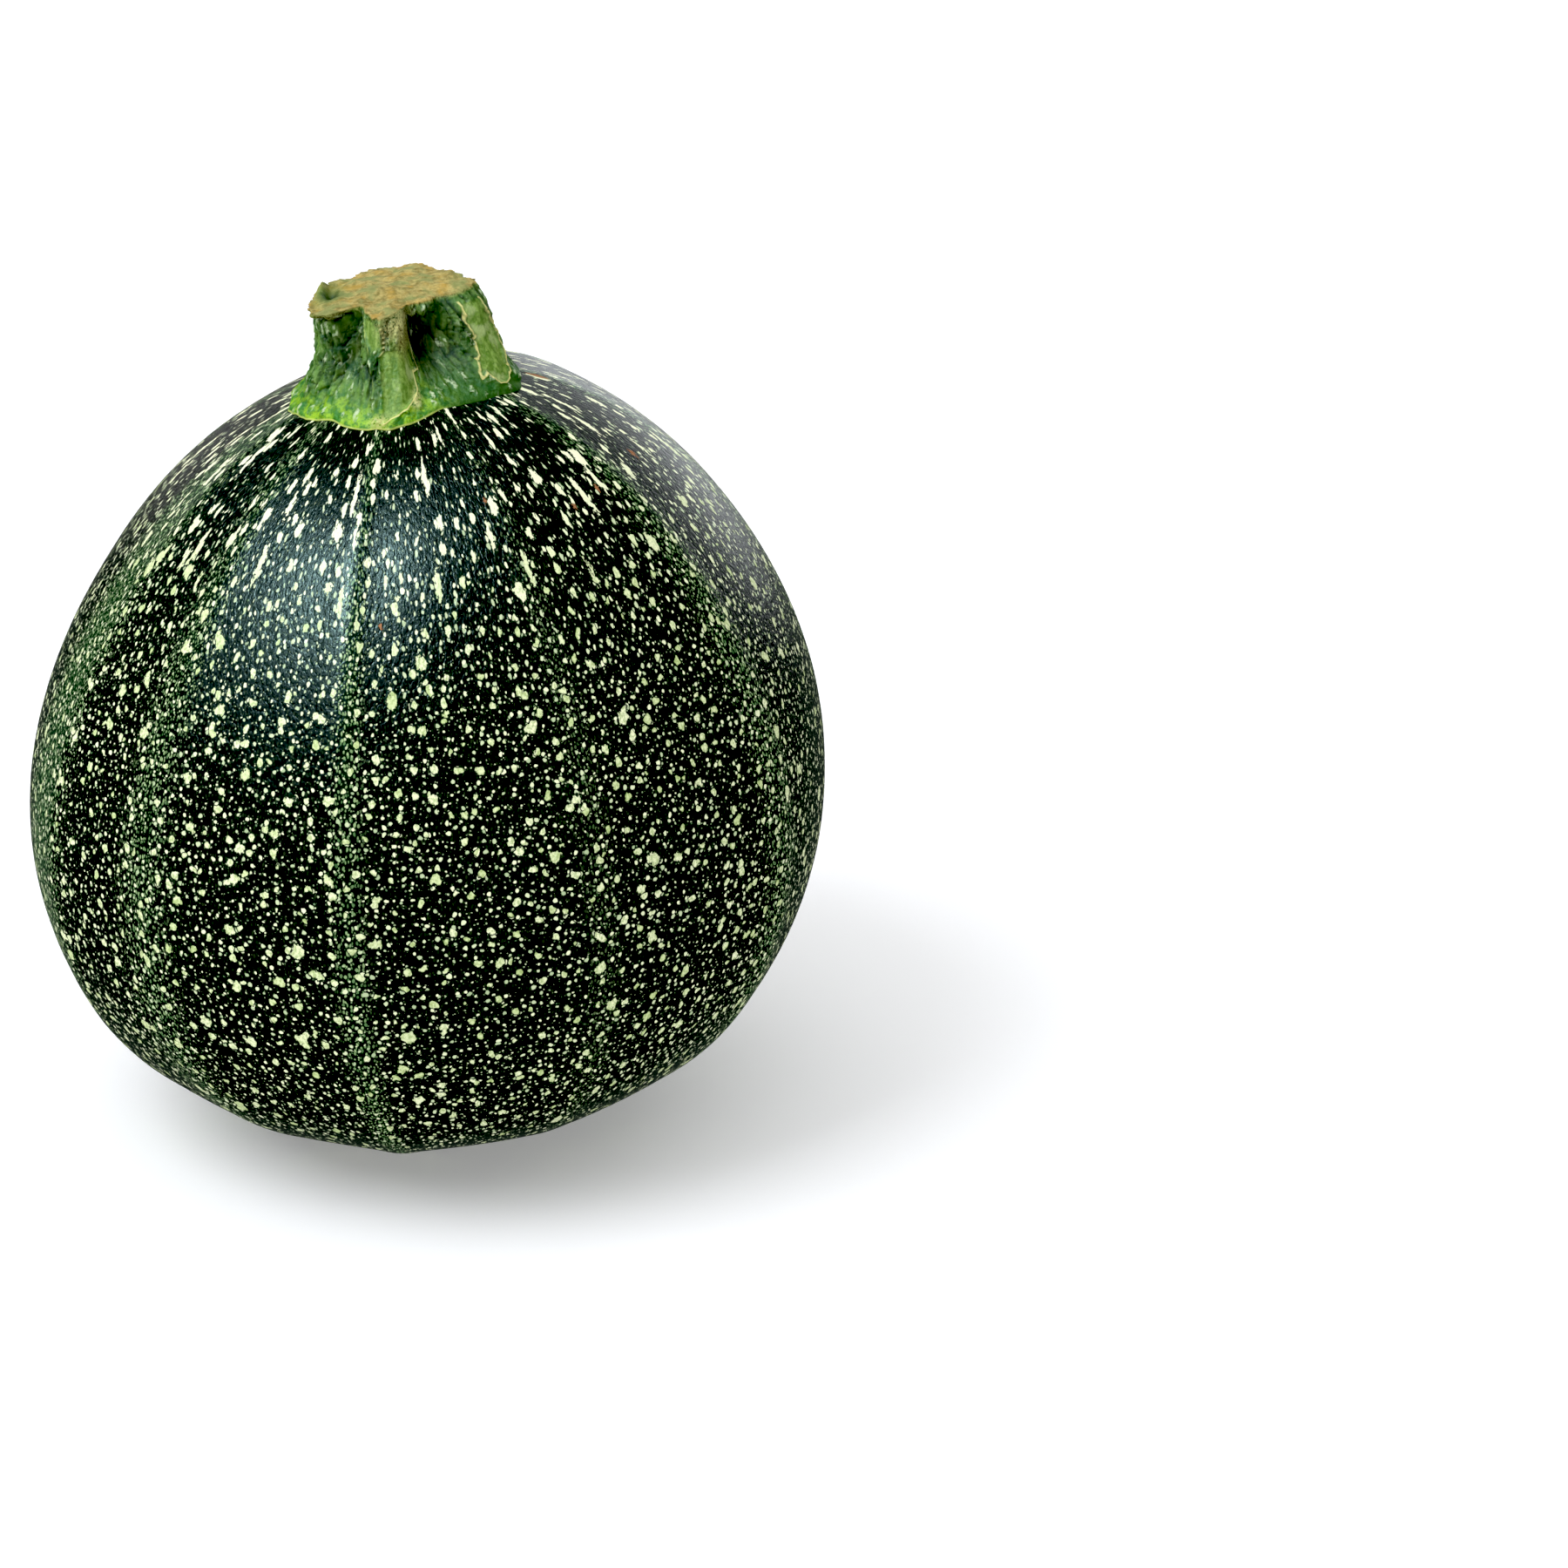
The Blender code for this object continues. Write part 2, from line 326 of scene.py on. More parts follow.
def end_ring(fall):
    """How far from the middle of an end's map a place lies that is this angle from that end."""
    northing = math.log(math.tan(fall / 2))
    past_start = (-northing / STRETCH_START) ** STRETCH_POWER + 1
    return 2 * math.atan(math.exp(northing / past_start ** (STRETCH_SHARE / STRETCH_POWER))) * MEAN_RADIUS


def skin_finish():
    made, tree = new_finish("zucchini_skin")
    place = tree.stored("skin_place", "Vector")
    band = tree.stored("band")
    fall = tree.stored("fall")

    coarse = tree.grain(place, 1.0, 2.0) - 0.5
    fine = tree.grain(place, 2.6, 3.0, 0.6) - 0.5
    mottle = tree.grain(place, 3.0, 3.0, 0.7)
    patches = tree.grain(place, 0.09, 2.0)

    swirl = tree.node("ShaderNodeTexNoise", None, {"Vector": place, "Scale": 1.1, "Detail": 1.0})["Color"]
    swirl = tree.vectors("SUBTRACT", swirl, (0.5, 0.5, 0.5))
    warp = tree.vectors("MULTIPLY", swirl, (0.9, 0.9, 0.0))
    small_warp = tree.vectors("MULTIPLY", swirl, (0.5, 0.5, 0.0))
    spiky = fine + coarse * 0.9
    thinner = tree.step(fall, 0.75, 0.3) * 0.08

    bumpy = fine * 0.5 + coarse * 0.5
    stars, star_halo, star_tone = flecks(tree, 6.2, (0.35, 0.78), 0.12, spiky, warp, share=0.7)
    large, large_halo, large_tone = flecks(tree, 2.6, (0.2, 0.5), 0.1, bumpy, warp, share=0.85)
    rounder = fine * 0.3 + thinner
    dots, dot_halo, dot_tone = flecks(tree, 1.08, (0.08, 0.28), 0.08, rounder, small_warp, favour=1.3)
    tiny, _, tiny_tone = flecks(tree, 0.76, (0.0, 0.11), 0.07, fine * 0.15 + thinner, small_warp)
    dashes, _, dash_tone = flecks(tree, 0.44, (0.06, 0.15), 0.08, fine * 0.12, small_warp, drawn_out=1.7)

    # The long streaks lie only round the stem, and wear away further down
    worn = spiky + tree.step(fall, 0.75, 0.95) * 0.9
    streaks = flecks(tree, 4.0, (0.32, 0.64), 0.12, worn, warp, share=0.6, end_squeeze=2.8)[0]

    big = tree.larger(tree.larger(stars, large), streaks)
    near_big = tree.larger(star_halo, large_halo)
    clear = 1 - near_big
    dots = dots * tree.step(clear, 0.3, 0.8)
    dashes = dashes * clear * (0.07 + 0.93 * tree.step(band, 0.15, 0.6))
    tiny = tiny * clear * (1 - dot_halo)

    ground = tree.mix(tree.step(patches, 0.35, 0.7), linear(1, 7, 5), linear(5, 16, 11))
    ground = tree.mix(tree.step(band, 0.3, 1.2) * 0.65, ground, linear(24, 60, 28))
    ground = tree.mix(near_big * 0.4, ground, linear(22, 54, 30))
    ground = tree.mix(dot_halo * 0.16, ground, linear(24, 56, 30))
    dash_colour = tree.mix(dash_tone, linear(88, 130, 80), linear(178, 206, 146))
    ground = tree.mix(dashes * 0.85, ground, dash_colour)
    tiny_colour = tree.mix(tiny_tone, linear(96, 128, 92), linear(204, 220, 176))
    ground = tree.mix(tiny * 0.9, ground, tiny_colour)
    pale, mild, olive = linear(242, 246, 206), linear(202, 218, 156), linear(146, 172, 92)
    ground = tree.mix(dots, ground, tree.mix(dot_tone, linear(172, 192, 148), pale))
    lighter = tree.larger(tree.larger(large_tone, star_tone), tree.step(fall, 0.9, 0.6))
    cream = tree.mix(lighter, mild, pale)
    cream = tree.mix(tree.step(mottle, 0.6, 0.36) * tree.step(fall, 0.45, 1.0) * 0.7, cream, olive)
    colour = tree.mix(big, ground, cream)

    scab = 0.0
    for turn, down, radius in SCABS:
        apart = tree.vectors("DISTANCE", place, on_skin(math.radians(turn), math.radians(down)))
        scab = tree.larger(scab, tree.step(apart + fine * 1.6, radius, radius * 0.6))
    colour = tree.mix(scab * 0.9, colour, tree.mix(mottle, linear(112, 62, 36), linear(200, 142, 92)))
    scar = tree.step(fall + coarse * 0.05, SCAR_EDGE, SCAR_EDGE + 0.02)
    colour = tree.mix(scar, colour, tree.mix(mottle, linear(96, 78, 46), linear(176, 156, 108)))

    pebbles = tree.node("ShaderNodeTexVoronoi", None, {"Vector": place, "Scale": 1.5})
    pores = tree.step(pebbles["Distance"], 0.66, 0.44)
    lines = tree.grain(place, 2.4, 3.0, 0.6)
    dry = tree.larger(scab, scar)
    roughness = 0.24 + 0.12 * lines + 0.1 * big + 0.4 * dry
    bump = lines * 1.2 + pores * 0.5 + dry * (1.0 + mottle)
    finish_with(tree, colour, roughness, bump, SKIN_RELIEF * MM)
    return made


def on_skin(turn, fall):
    """The skin's own place, in mm, for its grain and its scabs: the fruit rolled out as a drum."""
    down = (fall - math.pi / 2) * DRUM_SQUEEZE
    return tuple(share * MEAN_RADIUS for share in (math.sin(turn), -math.cos(turn), down))


def wrapped(tree, angle):
    return tree.maths("WRAP", angle, math.pi, -math.pi)


def bell(tree, apart, width):
    """1 where two angles meet, falling to 0 a few widths apart."""
    return tree.maths("EXPONENT", (apart / width) ** 2.0 * -1.0)


def fruit_shape():
    """The tree that turns a ball into the ribbed fruit, and stores what its finish reads."""
    group = bpy.data.node_groups.new("fruit_shape", "GeometryNodeTree")
    tree = Tree(group)
    sizes = {
        "Mean radius": MEAN_RADIUS,
        "Shoulder taper": SHOULDER_TAPER,
        "Full shoulder": FULL_SHOULDER,
        "Stem end tilt": STEM_END_TILT,
        "Rib height": 1.0,
        "Valley depth": VALLEY_DEPTH,
        "Lump height": LUMP_HEIGHT,
        "Lean": LEAN,
    }
    for name in sizes:
        group.interface.new_socket(name=name, in_out="INPUT", socket_type="NodeSocketFloat")
    group.interface.new_socket(name="Skin", in_out="INPUT", socket_type="NodeSocketMaterial")
    group.interface.new_socket(name="Geometry", in_out="OUTPUT", socket_type="NodeSocketGeometry")
    given = tree.node("NodeGroupInput")

    parts = {"Segments": FRUIT_SEGMENTS, "Rings": FRUIT_RINGS, "Radius": 1.0}
    ball = tree.node("GeometryNodeMeshUVSphere", None, parts)["Mesh"]
    outward = tree.vectors("NORMALIZE", tree.node("GeometryNodeInputPosition")["Position"])
    axes = tree.node("ShaderNodeSeparateXYZ", None, {"Vector": outward})
    fall = tree.maths("ARCCOSINE", axes["Z"])
    turn = tree.maths("ARCTAN2", axes["X"], axes["Y"] * -1.0)
    sine, cosine = tree.maths("SINE", turn), tree.maths("COSINE", turn)

    relief = given["Valley depth"] * -1.0
    for degrees, height in RIBS:
        apart = wrapped(tree, turn - math.radians(degrees))
        crest = RIB_BROAD * bell(tree, apart, RIB_BROAD_WIDTH)
        crest = crest + RIB_SHARP * bell(tree, apart, RIB_SHARP_WIDTH)
        relief = relief + given["Rib height"] * height * crest
    band = 0.0
    for degrees, strength, width in BANDS:
        apart = wrapped(tree, turn - math.radians(degrees))
        band = bell(tree, apart, math.radians(width)) * strength + band
    apart = wrapped(tree, turn - math.radians(CREASE_TURN))
    right_of_crease = tree.maths("GREATER_THAN", apart, 0.0)
    width = math.radians(CREASE_LEFT) + right_of_crease * math.radians(CREASE_RIGHT - CREASE_LEFT)
    crease = bell(tree, apart, width)
    relief = relief - crease * tree.step(fall, CREASE_FADE[1], CREASE_FADE[0]) * CREASE_DEPTH
    lumps = tree.grain(outward, 3.2, 3.0, 0.5) - 0.5
    uneven = given["Full shoulder"] * tree.maths("SINE", fall * 2.0)
    uneven = uneven + given["Stem end tilt"] * tree.maths("SINE", fall * 3.0)
    distance = given["Mean radius"] + given["Shoulder taper"] * tree.maths("COSINE", fall * 3.0)
    distance = distance + uneven * sine + (relief + given["Lump height"] * lumps) * tree.maths("SINE", fall)

    leaning = {"Vector": tree.scaled(outward, distance), "Angle": given["Lean"] * -1.0}
    leaned = tree.node("ShaderNodeVectorRotate", {"rotation_type": "Y_AXIS"}, leaning)["Vector"]
    # Nothing goes below the floor, which leaves the flat spot that it stands on
    stood = tree.vectors("MAXIMUM", tree.vectors("ADD", leaned, MIDDLE), (-1000.0, -1000.0, 0.0))
    metres = tree.scaled(stood, MM)

    around, down = turn * MEAN_RADIUS, (fall - math.pi / 2) * MEAN_RADIUS
    from_behind = wrapped(tree, turn - math.pi) * MEAN_RADIUS
    from_end = tree.larger(tree.maths("MINIMUM", fall, math.pi - fall), 0.02)
    northing = tree.maths("LOGARITHM", tree.maths("TANGENT", from_end * 0.5), math.e)
    past_start = tree.larger(northing / -STRETCH_START, 0.0) ** STRETCH_POWER + 1.0
    drawn = northing / past_start ** (STRETCH_SHARE / STRETCH_POWER)
    ring = tree.maths("ARCTANGENT", tree.maths("EXPONENT", drawn)) * (2 * MEAN_RADIUS)
    drum = tree.point(sine * MEAN_RADIUS, cosine * -MEAN_RADIUS, down * DRUM_SQUEEZE)
    stores = (
        ("front_map", "FLOAT_VECTOR", tree.point(around, down)),
        ("back_map", "FLOAT_VECTOR", tree.point(from_behind, down * -1.0)),
        ("end_map", "FLOAT_VECTOR", tree.point(ring * sine, ring * cosine)),
        ("skin_place", "FLOAT_VECTOR", drum),
        ("behind", "FLOAT", cosine * -1.0),
        ("sideways", "FLOAT", tree.maths("SINE", fall)),
        ("band", "FLOAT", band),
        ("fall", "FLOAT", fall),
    )
    for name, kind, value in stores:
        ball = tree.node(
            "GeometryNodeStoreNamedAttribute",
            {"data_type": kind, "domain": "POINT"},
            {"Geometry": ball, "Name": name, "Value": value},
        )["Geometry"]
    shape = tree.node("GeometryNodeSetPosition", None, {"Geometry": ball, "Position": metres})["Geometry"]
    smooth = {"Geometry": shape, "Shade Smooth": True}
    shape = tree.node("GeometryNodeSetShadeSmooth", None, smooth)["Geometry"]
    shape = tree.node("GeometryNodeRealizeInstances", None, {"Geometry": shape})["Geometry"]
    skinned = {"Geometry": shape, "Material": given["Skin"]}
    shape = tree.node("GeometryNodeSetMaterial", None, skinned)["Geometry"]
    tree.node("NodeGroupOutput", None, {"Geometry": shape})
    return group, sizes


def made_by(name, group, values):
    """A plain mesh object from a tree that makes its own geometry, with these inputs."""
    start = bpy.data.objects.new(name + "_start", bpy.data.meshes.new(name + "_start"))
    bpy.context.scene.collection.objects.link(start)
    modifier = start.modifiers.new("shape", "NODES")
    modifier.node_group = group
    for socket in group.interface.items_tree:
        if socket.in_out == "INPUT":
            modifier[socket.identifier] = values[socket.name]
    graph = bpy.context.evaluated_depsgraph_get()
    mesh = bpy.data.meshes.new_from_object(start.evaluated_get(graph), depsgraph=graph)
    bpy.data.objects.remove(start)
    mesh.name = name
    made = bpy.data.objects.new(name, mesh)
    bpy.context.scene.collection.objects.link(made)
    return made


# The stem


def turned_apart(first, second):
    return np.remainder(first - second + math.pi, math.tau) - math.pi


def rib_relief(turn):
    relief = np.full_like(turn, -VALLEY_DEPTH)
    for degrees, height in RIBS:
        apart = turned_apart(turn, math.radians(degrees))
        relief += height * RIB_BROAD * np.exp(-((apart / RIB_BROAD_WIDTH) ** 2))
        relief += height * RIB_SHARP * np.exp(-((apart / RIB_SHARP_WIDTH) ** 2))
    return relief


def skin_distance(fall, turn):
    turned = MEAN_RADIUS + SHOULDER_TAPER * np.cos(3 * fall)
    uneven = FULL_SHOULDER * np.sin(2 * fall) + STEM_END_TILT * np.sin(3 * fall)
    return turned + uneven * np.sin(turn) + rib_relief(turn) * np.sin(fall)


def shoulder_height(radius, turn):
    """How far up the axis the skin of the shoulder lies, this far out from the axis."""
    fall = np.zeros_like(radius)
    for _ in range(6):
        fall = np.arcsin(radius / skin_distance(fall, turn))
    return skin_distance(fall, turn) * np.cos(fall)


def curve_through(places, values, wanted):
    """Rows of values at the wanted places, on a smooth curve through the rows at these places."""
    last = len(places) - 1
    ahead = np.minimum(np.arange(last + 1) + 1, last)
    behind = np.maximum(np.arange(last + 1) - 1, 0)
    slopes = (values[ahead] - values[behind]) / (places[ahead] - places[behind])[:, None]
    after = np.clip(np.searchsorted(places, wanted), 1, last)
    span = (places[after] - places[after - 1])[:, None]
    t = (wanted - places[after - 1])[:, None] / span
    rise = (3 - 2 * t) * t * t
    bends = (t - 1) ** 2 * t * span * slopes[after - 1] + (t - 1) * t * t * span * slopes[after]
    return values[after - 1] * (1 - rise) + values[after] * rise + bends


def soft(value, low, high):
    """0 below the low value, 1 above the high one, smooth between."""
    t = np.clip((value - low) / (high - low), 0, 1)
    return t * t * (3 - 2 * t)


def to_line(turn, level, points, closed=False):
    """How far each place on the stem's side is from a line through (turn, level) points, in mm."""
    ends = np.array(points, float) * (MM_PER_DEGREE, MM_PER_LEVEL)
    if closed:
        ends = np.vstack((ends, ends[:1]))
    here = np.stack((np.degrees(turn) * MM_PER_DEGREE, level * MM_PER_LEVEL), axis=-1)
    nearest = np.full(turn.shape, 1e9)
    for start, end in zip(ends[:-1], ends[1:]):
        leg = end - start
        share = np.clip(((here - start) @ leg) / (leg @ leg), 0, 1)
        nearest = np.minimum(nearest, np.linalg.norm(here - start - share[..., None] * leg, axis=-1))
    return nearest


def within(turn, level, outline):
    """True inside an outline of (turn, level) points."""
    inside = np.zeros(turn.shape, bool)
    degrees = np.degrees(turn)
    for (t0, l0), (t1, l1) in zip(outline, outline[1:] + outline[:1]):
        crosses = (l0 > level) != (l1 > level)
        at = t0 + (level - l0) * (t1 - t0) / (l1 - l0 + 1e-9)
        inside ^= crosses & (degrees < at)
    return inside


def patch(turn, level, middle, half_size):
    """1 at the middle of a soft round patch, in (degrees, level), and 0 well outside it."""
    across = (np.degrees(turn) - middle[0]) / half_size[0]
    up = (level - middle[1]) / half_size[1]
    return np.exp(-(across**2) - up**2)


def noise_at(places, detail=3):
    """Smooth noise from about -1 to 1 at each place."""
    flat = places.reshape(-1, 3)
    values = [noise.fractal(Vector(place), 1.0, 2.0, detail) for place in flat]
    return np.array(values).reshape(places.shape[:-1])


def cells_at(places):
    """How far each place is from the nearest of scattered points, and from the next one less that."""
    flat = places.reshape(-1, 3)
    found = [noise.voronoi(Vector(place))[0] for place in flat]
    near = np.array([distances[0] for distances in found]).reshape(places.shape[:-1])
    gap = np.array([distances[1] - distances[0] for distances in found]).reshape(places.shape[:-1])
    return near, gap


def stem_side():
    """The side of the stem, foot to rim: its places, and what its finish reads at each."""
    turn = np.linspace(-math.pi, math.pi, STEM_SEGMENTS, endpoint=False)
    around = np.vstack([STEM_OUTLINE + (lap, 0, 0, 0, 0, 0) for lap in (-360, 0, 360)])
    by_turn = curve_through(around[:, 0], around[:, 1:], np.degrees(turn))
    level = np.linspace(0, 1, STEM_RINGS + 1)
    radius = curve_through(STEM_LEVELS, by_turn.T, level)
    turn, level = np.meshgrid(turn, level)
    degrees = np.degrees(turn)
    rim = radius[-1]

    # The flap that overhangs the hollow, and the lip on the left
    ragged = 0.02 * np.sin(degrees * 0.55) + 0.012 * np.sin(degrees * 1.7 + 1)
    flap_turns = soft(degrees, 14, 22) * (1 - soft(degrees, 58, 66))
    flap = soft(level, 0.86 + ragged, 0.885 + ragged) * flap_turns
    radius = radius * (1 - flap) + (rim + 0.35 * soft(level, 1.0, 0.93)) * flap
    lip_turns = soft(degrees, -84, -72) * (1 - soft(degrees, -44, -39))
    under_lip = np.exp(-(((level - 0.935 - ragged) / 0.022) ** 2)) * lip_turns
    lip = soft(level, 0.945 + ragged, 0.965 + ragged) * lip_turns

    height = MM_PER_LEVEL * level
    wrap = 10.0
    place = np.stack((wrap * np.sin(turn), -wrap * np.cos(turn), height), axis=-1)
    broad = noise_at(place * 0.33, 2)
    fine = noise_at(place * (2.4, 2.4, 1.6), 3)
    strands = noise_at(place * (1.1, 1.1, 0.26), 3)
    slits = np.exp(-((noise_at(place * (0.75, 0.75, 0.16) + 7.0, 3) / 0.07) ** 2))
    near, gap = cells_at((place + 0.35 * fine[..., None]) * (1.0, 1.0, 0.36))
    warts = soft(0.7 - near, 0.0, 0.6) * soft(gap, 0.0, 0.4)
    gaps = np.exp(-((gap / 0.09) ** 2)) * soft(broad, -0.35, 0.25)

    # The edges left by the knife waver a little
    turn_there = turn + np.radians(0.8) * noise_at(place * 0.6 + 3.0, 2)
    level_there = level + 0.014 * noise_at(place * 0.6 + 9.0, 2)
    facet = np.zeros_like(turn)
    for outline in (FRONT_FACET, TONGUE_FACET, SIDE_FACET):
        border = to_line(turn_there, level_there, outline, closed=True)
        inside = within(turn_there, level_there, outline)
        facet = np.maximum(facet, np.where(inside, soft(border, 0.0, 0.35), 0.0))
    line = to_line(turn_there, level_there, TONGUE_FACET)
    line = np.minimum(line, to_line(turn_there, level_there, TORN_EDGE))
    ridge_edge = to_line(turn_there, level_there, RIDGE_EDGE)
    beads = to_line(turn_there, level_there, BEADED_EDGE)

    # Patches for painted shade: the hollow under the flap and the recess on the left are darkened in
    # colour; the left slit is a groove that is also darkened in colour
    hollow = patch(turn, level, (37, 0.62), (18, 0.28)) + 0.5 * patch(turn, level, (27, 0.42), (7, 0.14))
    left_recess_shade = patch(turn, level, (-43, 0.58), (11, 0.26))
    left_slit = patch(turn, level, (-7.5, 0.78), (2.2, 0.13))
    torn = patch(turn, level, (10, 0.72), (8, 0.15))
    crumbs = patch(turn, level, (4, 0.88), (14, 0.12))
    scabs = patch(turn, level, (-9, 0.05), (4, 0.05)) + patch(turn, level, (12, 0.16), (3, 0.07))

    rough = 1 - 0.85 * facet
    below_rim = 1 - soft(level, 0.94, 1.0)
    relief = rough * (0.26 * warts - 0.12 * gaps + 0.3 * strands + 0.34 * broad + 0.06 * fine)
    relief -= 0.5 * slits * rough * soft(level, 0.1, 0.3) * below_rim
    relief += (0.06 * fine + 0.05 * strands) * facet
    relief += 0.14 * np.exp(-((line / 0.14) ** 2)) + 0.22 * np.exp(-((ridge_edge / 0.2) ** 2))
    relief -= 0.3 * facet + 0.5 * left_slit
    relief -= 1.1 * under_lip
    relief += lip * (0.5 + 0.3 * strands + 0.2 * fine)
    relief -= 0.9 * torn * (0.5 + 0.8 * np.abs(fine) + 0.5 * np.abs(strands))
    relief += crumbs * (0.6 * np.abs(fine) + 0.35 * warts)
    relief += scabs * 0.4 * (0.5 + np.abs(fine))
    bead = 0.5 + 0.5 * np.cos(height * 2 * math.pi / 0.62 + 3.0 * strands)
    relief += 0.3 * bead * np.exp(-((beads / 0.22) ** 2))
    relief *= soft(level, 0.0, 0.06)
    relief += 0.07 * (strands + fine) * soft(level, 0.93, 1.0) * (1 - lip)
    radius = radius + relief

    round_foot = np.stack((4 * np.sin(turn[0]), 4 * np.cos(turn[0]), 0 * turn[0]), axis=-1)
    radius = radius + 0.35 * noise_at(round_foot, 3) * (1 - soft(level, 0.0, 0.12))
    low = shoulder_height(radius[0], turn[0]) - FOOT_SINK
    high = cut_height(rim, turn[0], np.ones_like(rim))
    up = low + (high - low) * level
    # The foot's edge stands a little off the skin, rounded
    edge = soft(level, 0.0, 0.02)
    up = up + FOOT_RISE * edge * (1 - soft(level, 0.02, 0.2))

    right_side = soft(degrees, 10, 45) * (1 - soft(degrees, 110, 160))
    # Painted shade in the gaps between the warts, in the slits and in the grooves of the strands
    crease_shade = np.clip(0.8 * gaps + slits + 0.6 * soft(-strands, 0.1, 0.6), 0, 1)
    crease_shade = crease_shade * rough * soft(level, 0.12, 0.4) * below_rim
    # Painted shade: darker in the hollow under the flap, in the left recess, in the groove under the lip
    # and in the left slit
    painted_shade = 1.1 * hollow * (1 - 0.5 * warts) + 0.5 * left_recess_shade + 1.2 * under_lip + left_slit
    bead_line = 0.7 * np.exp(-((beads / 0.22) ** 2)) * (0.4 + 0.6 * bead)
    foot_line = (1 - soft(level, 0.006, 0.016)) * (1 - right_side)
    reads = {
        "facet": facet,
        "line": np.exp(-((line / 0.1) ** 2)) + bead_line,
        "edge": np.exp(-((ridge_edge / 0.12) ** 2)) * soft(strands, -0.5, 0.3) + foot_line,
        "deep": (1 - soft(level, 0.05, 0.5)) * right_side * rough,
        "hollow": np.clip(painted_shade, 0, 1) * rough,
        "gaps": crease_shade,
        "torn": np.clip(1.5 * torn + 0.8 * lip + 0.8 * soft(level, 0.965, 0.99), 0, 1),
        "crumbs": np.clip(crumbs + scabs, 0, 1),
        "warts": warts * rough,
        "foot": (1 - soft(level, 0.02, 0.36 + 0.2 * strands)) * (1 - 0.85 * right_side),
        "cut": soft(level, 0.985, 1.0),
    }
    return turn, radius, up, reads


def cut_height(radius, turn, share_out):
    tilted = STEM_TOP + radius * np.sin(turn) * math.tan(CUT_TILT)
    ripple = np.sin(RIM_RIPPLES * turn) * np.cos(2 * turn + 1.0)
    return tilted + CUT_SWELLING * (1 - share_out**2) + RIM_RIPPLE * ripple * share_out**4


def stem_cut(turn, rim):
    """The cut across the stem, rim to middle, one ring for each share of the way out."""
    share = np.linspace(1, 0, CUT_RINGS + 1)[1:-1]
    turn, share = np.meshgrid(turn, share)
    radius = rim * share
    right, front = radius * np.sin(turn), radius * np.cos(turn)
    place = np.stack((right, front, 0 * right), axis=-1)
    fibres = noise_at(place * (0.9, 1.6, 1.0), 4)
    broad = noise_at(place * 0.35 + 5.0, 2)
    pit = np.exp(-(((right + 7.6) / 0.8) ** 2) - ((front - 0.4) / 1.9) ** 2)
    knob = np.exp(-(((right + 8.9) / 0.7) ** 2) - ((front + 1.6) / 2.2) ** 2)
    fade = soft(1 - share, 0.0, 0.06)
    raised_rim = np.exp(-(((1 - share) / 0.05) ** 2))
    up = cut_height(radius, turn, share) + fade * (0.07 * fibres + 0.35 * broad + 0.15 * raised_rim)
    up += 1.2 * knob * fade - 1.0 * pit
    side_only = ("facet", "line", "edge", "deep", "gaps", "torn", "crumbs", "warts", "foot")
    reads = {name: np.zeros_like(turn) for name in side_only}
    # Painted shade in the pit on the cut
    reads["hollow"] = 0.9 * pit
    green_lobe = np.exp(-(((right + 8.2) / 1.7) ** 2) - ((front - 0.4) / 3.0) ** 2)
    reads["cut"] = 1 - np.clip(0.85 * green_lobe + 0.3 * pit, 0, 1)
    return radius, up, reads


def stem_piece(finish):
    turn, radius, up, reads = stem_side()
    cut_radius, cut_up, cut_reads = stem_cut(turn[0], radius[-1])
    under_share = np.array((0.35, 0.7))[:, None]
    under_radius = radius[0] * under_share
    under_turn = np.broadcast_to(turn[0], under_radius.shape)
    under_up = shoulder_height(under_radius, under_turn) - FOOT_SINK
    rings = np.vstack((under_radius, radius, cut_radius))
    heights = np.vstack((under_up, up, cut_up))
    across, towards = rings * np.sin(turn[0]), -rings * np.cos(turn[0])
    points = np.stack((across, towards, heights), axis=-1).reshape(-1, 3)
    under_middle = (0.0, 0.0, float(shoulder_height(np.zeros(1), np.zeros(1))[0] - FOOT_SINK))
    cut_middle = (0.0, 0.0, float(cut_up[-1].mean()))
    points = np.vstack((points, under_middle, cut_middle))
    cosine, sine = math.cos(LEAN), math.sin(LEAN)
    leaned = np.array(((cosine, 0, -sine), (0, 1, 0), (sine, 0, cosine)))
    points = (points @ leaned.T + MIDDLE) * MM

    count, around = rings.shape
    index = np.arange(count * around).reshape(count, around)
    beside = np.roll(index, -1, axis=1)
    quads = np.stack((index[:-1], beside[:-1], beside[1:], index[1:]), axis=-1).reshape(-1, 4).tolist()
    low, high = count * around, count * around + 1
    fan_low = [(low, b, a) for a, b in zip(index[0].tolist(), beside[0].tolist())]
    fan_high = [(high, a, b) for a, b in zip(index[-1].tolist(), beside[-1].tolist())]
    mesh = bpy.data.meshes.new("cut_stem")
    mesh.from_pydata(points.tolist(), [], quads + fan_low + fan_high)
    mesh.shade_smooth()
    for name, value in reads.items():
        under = np.zeros(under_radius.shape)
        whole = np.vstack((under, value, cut_reads[name])).ravel()
        whole = np.append(whole, (0.0, cut_reads[name][-1].mean()))
        mesh.attributes.new(name, "FLOAT", "POINT").data.foreach_set("value", whole.astype(np.float32))
    mesh.materials.append(finish)
    made = bpy.data.objects.new("cut_stem", mesh)
    bpy.context.scene.collection.objects.link(made)
    return made


